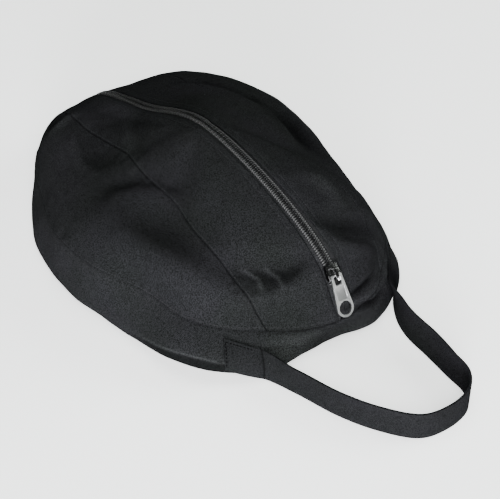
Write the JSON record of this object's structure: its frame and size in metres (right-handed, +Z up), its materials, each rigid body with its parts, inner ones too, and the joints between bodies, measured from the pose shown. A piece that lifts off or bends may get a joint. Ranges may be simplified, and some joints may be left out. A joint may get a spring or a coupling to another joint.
{
  "type": "riding helmet bag",
  "caption": "Soft rounded black cloth bag for a riding helmet, with a long zip over the top and a webbing loop handle at its front.",
  "frame": {"origin": "on the floor under the bag's middle, in the plane of its flat base", "axes": "+Z up, +Y along the zip to the back of the bag, -Y to the front, where the zip's pull and the loop are, +X to the right seen from the front"},
  "size_m": [0.2865, 0.494, 0.1188],
  "materials": {
    "black_twill": "matt twill with a faint sheen",
    "black_webbing": "flat woven webbing",
    "black_zip_tape": "matt woven tape",
    "black_zip_coil": "smooth nylon coil",
    "dark_slider_metal": "dull grey plating",
    "grey_pull_metal": "satin grey plating"
  },
  "bodies": {
    "bag": {"centre_panel_left": "black_twill", "centre_panel_right": "black_twill", "side_panel_left": "black_twill", "side_panel_right": "black_twill", "base_band": "black_twill", "base_panel": "black_twill", "zip_tape_left": "black_zip_tape", "zip_tape_right": "black_zip_tape", "zip_coil_left": "black_zip_coil", "zip_coil_right": "black_zip_coil", "slider_body": "dark_slider_metal", "handle_strap": "black_webbing"},
    "pull": {"pull_tab": "grey_pull_metal"}
  },
  "joints": [
    {"name": "pull_swing", "type": "hinge", "parent": "bag", "child": "pull", "pos_m": [-0.00026, -0.17132, 0.06356], "axis": [-0.9985, 0.0449, -0.0323], "range_deg": [0, 168]}
  ]
}
